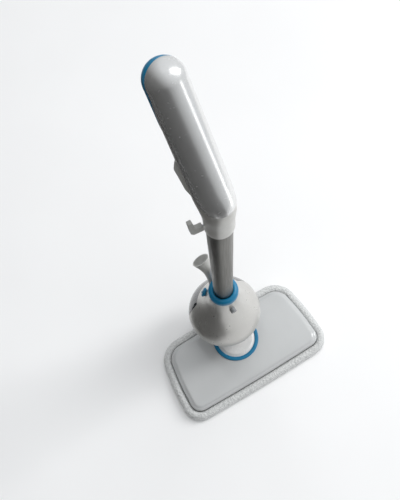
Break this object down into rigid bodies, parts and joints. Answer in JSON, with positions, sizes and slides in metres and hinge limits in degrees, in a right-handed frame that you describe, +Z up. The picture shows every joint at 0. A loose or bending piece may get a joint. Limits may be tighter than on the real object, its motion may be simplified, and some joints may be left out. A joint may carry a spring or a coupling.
{
  "type": "steam mop",
  "caption": "Upright steam mop with a padded trapezoid head, cross-jointed pear-shaped boiler body, metal tube and bent capsule handle with trigger and cord hooks.",
  "frame": {"origin": "on the floor under the middle of the mop pad", "axes": "+X along the head, +Y to the back (user's side), +Z up"},
  "size_m": [0.296, 0.269, 0.8274],
  "materials": {
    "pad_fabric": "looped microfibre",
    "loop_strip": "matt",
    "white_gloss": "high gloss",
    "white_satin": "satin",
    "blue_gloss": "gloss",
    "grey_plastic": "matt",
    "dark_plastic": "matt",
    "tank_smoke": "smoked clear",
    "tube_metal": "satin anodised",
    "steel": "bright",
    "boiler_alloy": "cast",
    "brass_fitting": "bright",
    "seal_rubber": "matt",
    "hose_silicone": "translucent",
    "wire_insulation": "matt"
  },
  "bodies": {
    "head": {"mop_pad": "pad_fabric", "hook_loop_strips": "loop_strip", "head_base_plate": "white_satin", "steam_channel": "grey_plastic", "head_cover": "white_gloss", "edge_seal": "seal_rubber", "ring_trim": "blue_gloss", "turret": "white_satin", "tilt_pin": "steel", "steam_nozzle": "brass_fitting", "head_screws": "steel"},
    "yoke": {"yoke_block": "grey_plastic", "roll_pin": "steel"},
    "body": {"base_skirt": "white_satin", "chassis_plate": "grey_plastic", "body_shell": "white_gloss", "water_tank": "tank_smoke", "tank_grommet": "seal_rubber", "filler_neck": "grey_plastic", "collar_ring": "blue_gloss", "tube_socket": "white_satin", "release_spring": "steel", "boiler": "boiler_alloy", "heating_element": "steel", "thermostat": "white_satin", "thermal_fuse": "white_satin", "pump": "dark_plastic", "pump_mount": "seal_rubber", "intake_hose": "hose_silicone", "feed_hose": "hose_silicone", "check_valve": "brass_fitting", "steam_hose": "hose_silicone", "terminal_block": "white_satin", "lower_hook": "white_satin", "body_screws": "steel", "main_tube": "tube_metal", "tube_wiring": "wire_insulation", "neck_collar": "white_satin", "handle_front_shell": "white_gloss", "handle_rear_shell": "white_satin", "grip_inlay": "blue_gloss", "trigger_pin": "steel", "pin_bracket": "grey_plastic", "trigger_spring": "steel", "switch_unit": "dark_plastic", "cord_gland": "seal_rubber", "handle_screws": "steel"},
    "hook": {"upper_hook": "white_satin", "hook_screw": "steel"},
    "cap": {"filler_cap": "blue_gloss"},
    "button": {"release_button": "grey_plastic"},
    "trigger": {"trigger": "white_satin"}
  },
  "joints": [
    {"name": "head_tilt", "type": "hinge", "parent": "head", "child": "yoke", "pos_m": [0, 0.045, 0.044], "axis": [-1, 0, 0], "range_deg": [0, 40]},
    {"name": "head_roll", "type": "hinge", "parent": "yoke", "child": "body", "pos_m": [0, 0.045, 0.062], "axis": [0, 1, 0], "range_deg": [-20, 20]},
    {"name": "trigger_squeeze", "type": "hinge", "parent": "body", "child": "trigger", "pos_m": [-0.01413, 0.10964, 0.70832], "axis": [-0.4695, -0.7277, 0.5001], "range_deg": [0, 7], "stiffness_Nm_per_rad": 0.6, "springref_deg": -2.86},
    {"name": "hook_turn", "type": "hinge", "parent": "body", "child": "hook", "pos_m": [-0.01989, 0.05909, 0.6], "axis": [-0.9945, 0.1045, 0], "range_deg": [0, 180]},
    {"name": "cap_turn", "type": "hinge", "parent": "body", "child": "cap", "pos_m": [-0.02176, 0.08116, 0.198], "axis": [-0.6327, 0.7027, 0.3256], "range_deg": [0, 90]},
    {"name": "button_press", "type": "slide", "parent": "body", "child": "button", "axis": [0, 1, 0], "range_m": [0, 0.0025], "stiffness_N_per_m": 600, "springref_m": -0.001, "deforming": ["release_spring"]}
  ]
}
